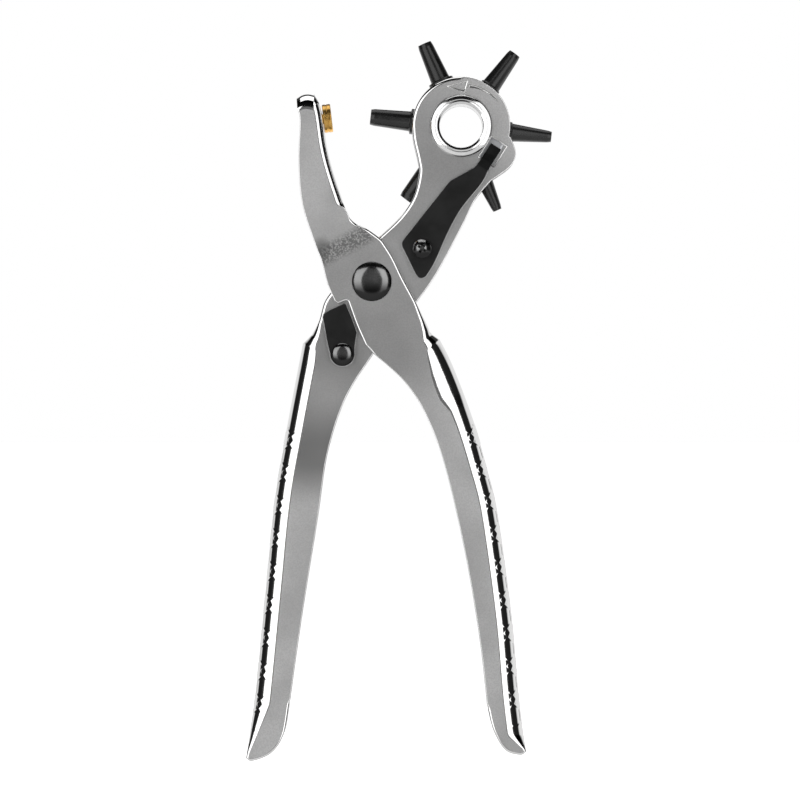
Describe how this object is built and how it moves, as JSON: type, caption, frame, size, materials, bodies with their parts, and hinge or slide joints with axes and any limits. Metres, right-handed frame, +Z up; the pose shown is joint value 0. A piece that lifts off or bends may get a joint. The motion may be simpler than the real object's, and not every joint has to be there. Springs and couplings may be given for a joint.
{
  "type": "rotary hole punch",
  "caption": "Revolving leather punch pliers: stamped steel channel arms, a turning wheel of hollow cutting tubes, a brass anvil, a sprung index tongue and a handle latch.",
  "frame": {"origin": "centre of the pivot rivet, midway between the front and rear faces", "axes": "+Z up towards the jaws in the plane of the tool, +X towards the punch wheel's side, +Y along the pivot towards the rear; the latch, index spring and rivet domes face -Y"},
  "size_m": [0.0947, 0.0214, 0.223],
  "materials": {
    "plated_steel": "satin nickel-chrome plate over stamped steel, polished on the rounded handle backs",
    "black_steel": "black oxide on steel, satin",
    "bright_steel": "bright rolled eyelet",
    "zinc_steel": "zinc-plated steel",
    "spring_wire": "oiled spring wire",
    "brass": "machined, lightly used"
  },
  "bodies": {
    "wheel_side": {"wheel_arm": "plated_steel", "pivot_rivet": "black_steel", "pivot_washer": "zinc_steel", "pivot_sleeve": "zinc_steel", "return_spring": "spring_wire", "hub_eyelet": "bright_steel", "index_screw": "black_steel", "index_nut": "zinc_steel", "latch_rivet": "black_steel"},
    "anvil_side": {"anvil_arm": "plated_steel", "anvil": "brass"},
    "wheel": {"punch_wheel": "zinc_steel", "punch_tube_2_0": "black_steel", "punch_tube_2_5": "black_steel", "punch_tube_3_0": "black_steel", "punch_tube_3_5": "black_steel", "punch_tube_4_0": "black_steel", "punch_tube_4_5": "black_steel"},
    "index_leaf": {"index_spring": "black_steel"},
    "latch_plate": {"latch": "black_steel"}
  },
  "joints": [
    {"name": "handle_squeeze", "type": "hinge", "parent": "wheel_side", "child": "anvil_side", "pos_m": [0, 0, 0], "axis": [0, 1, 0], "range_deg": [0, 13], "stiffness_Nm_per_rad": 2, "springref_deg": -5.73, "deforming": ["return_spring"]},
    {"name": "wheel_turn", "type": "hinge", "parent": "wheel_side", "child": "wheel", "pos_m": [0.0276, 0, 0.0481], "axis": [0, 1, 0], "continuous": true},
    {"name": "latch_swing", "type": "hinge", "parent": "wheel_side", "child": "latch_plate", "pos_m": [-0.0091, -0.0069, -0.0224], "axis": [0, 1, 0], "range_deg": [-30, 0]},
    {"name": "index_lift", "type": "hinge", "parent": "wheel_side", "child": "index_leaf", "pos_m": [0.0153, -0.0062, 0.0012], "axis": [0.8706, 0, -0.492], "range_deg": [0, 1.5], "stiffness_Nm_per_rad": 1.5, "springref_deg": -1.15}
  ],
  "couplings": [
    {"joint": "latch_swing", "follows": "handle_squeeze", "ratio": -2}
  ]
}
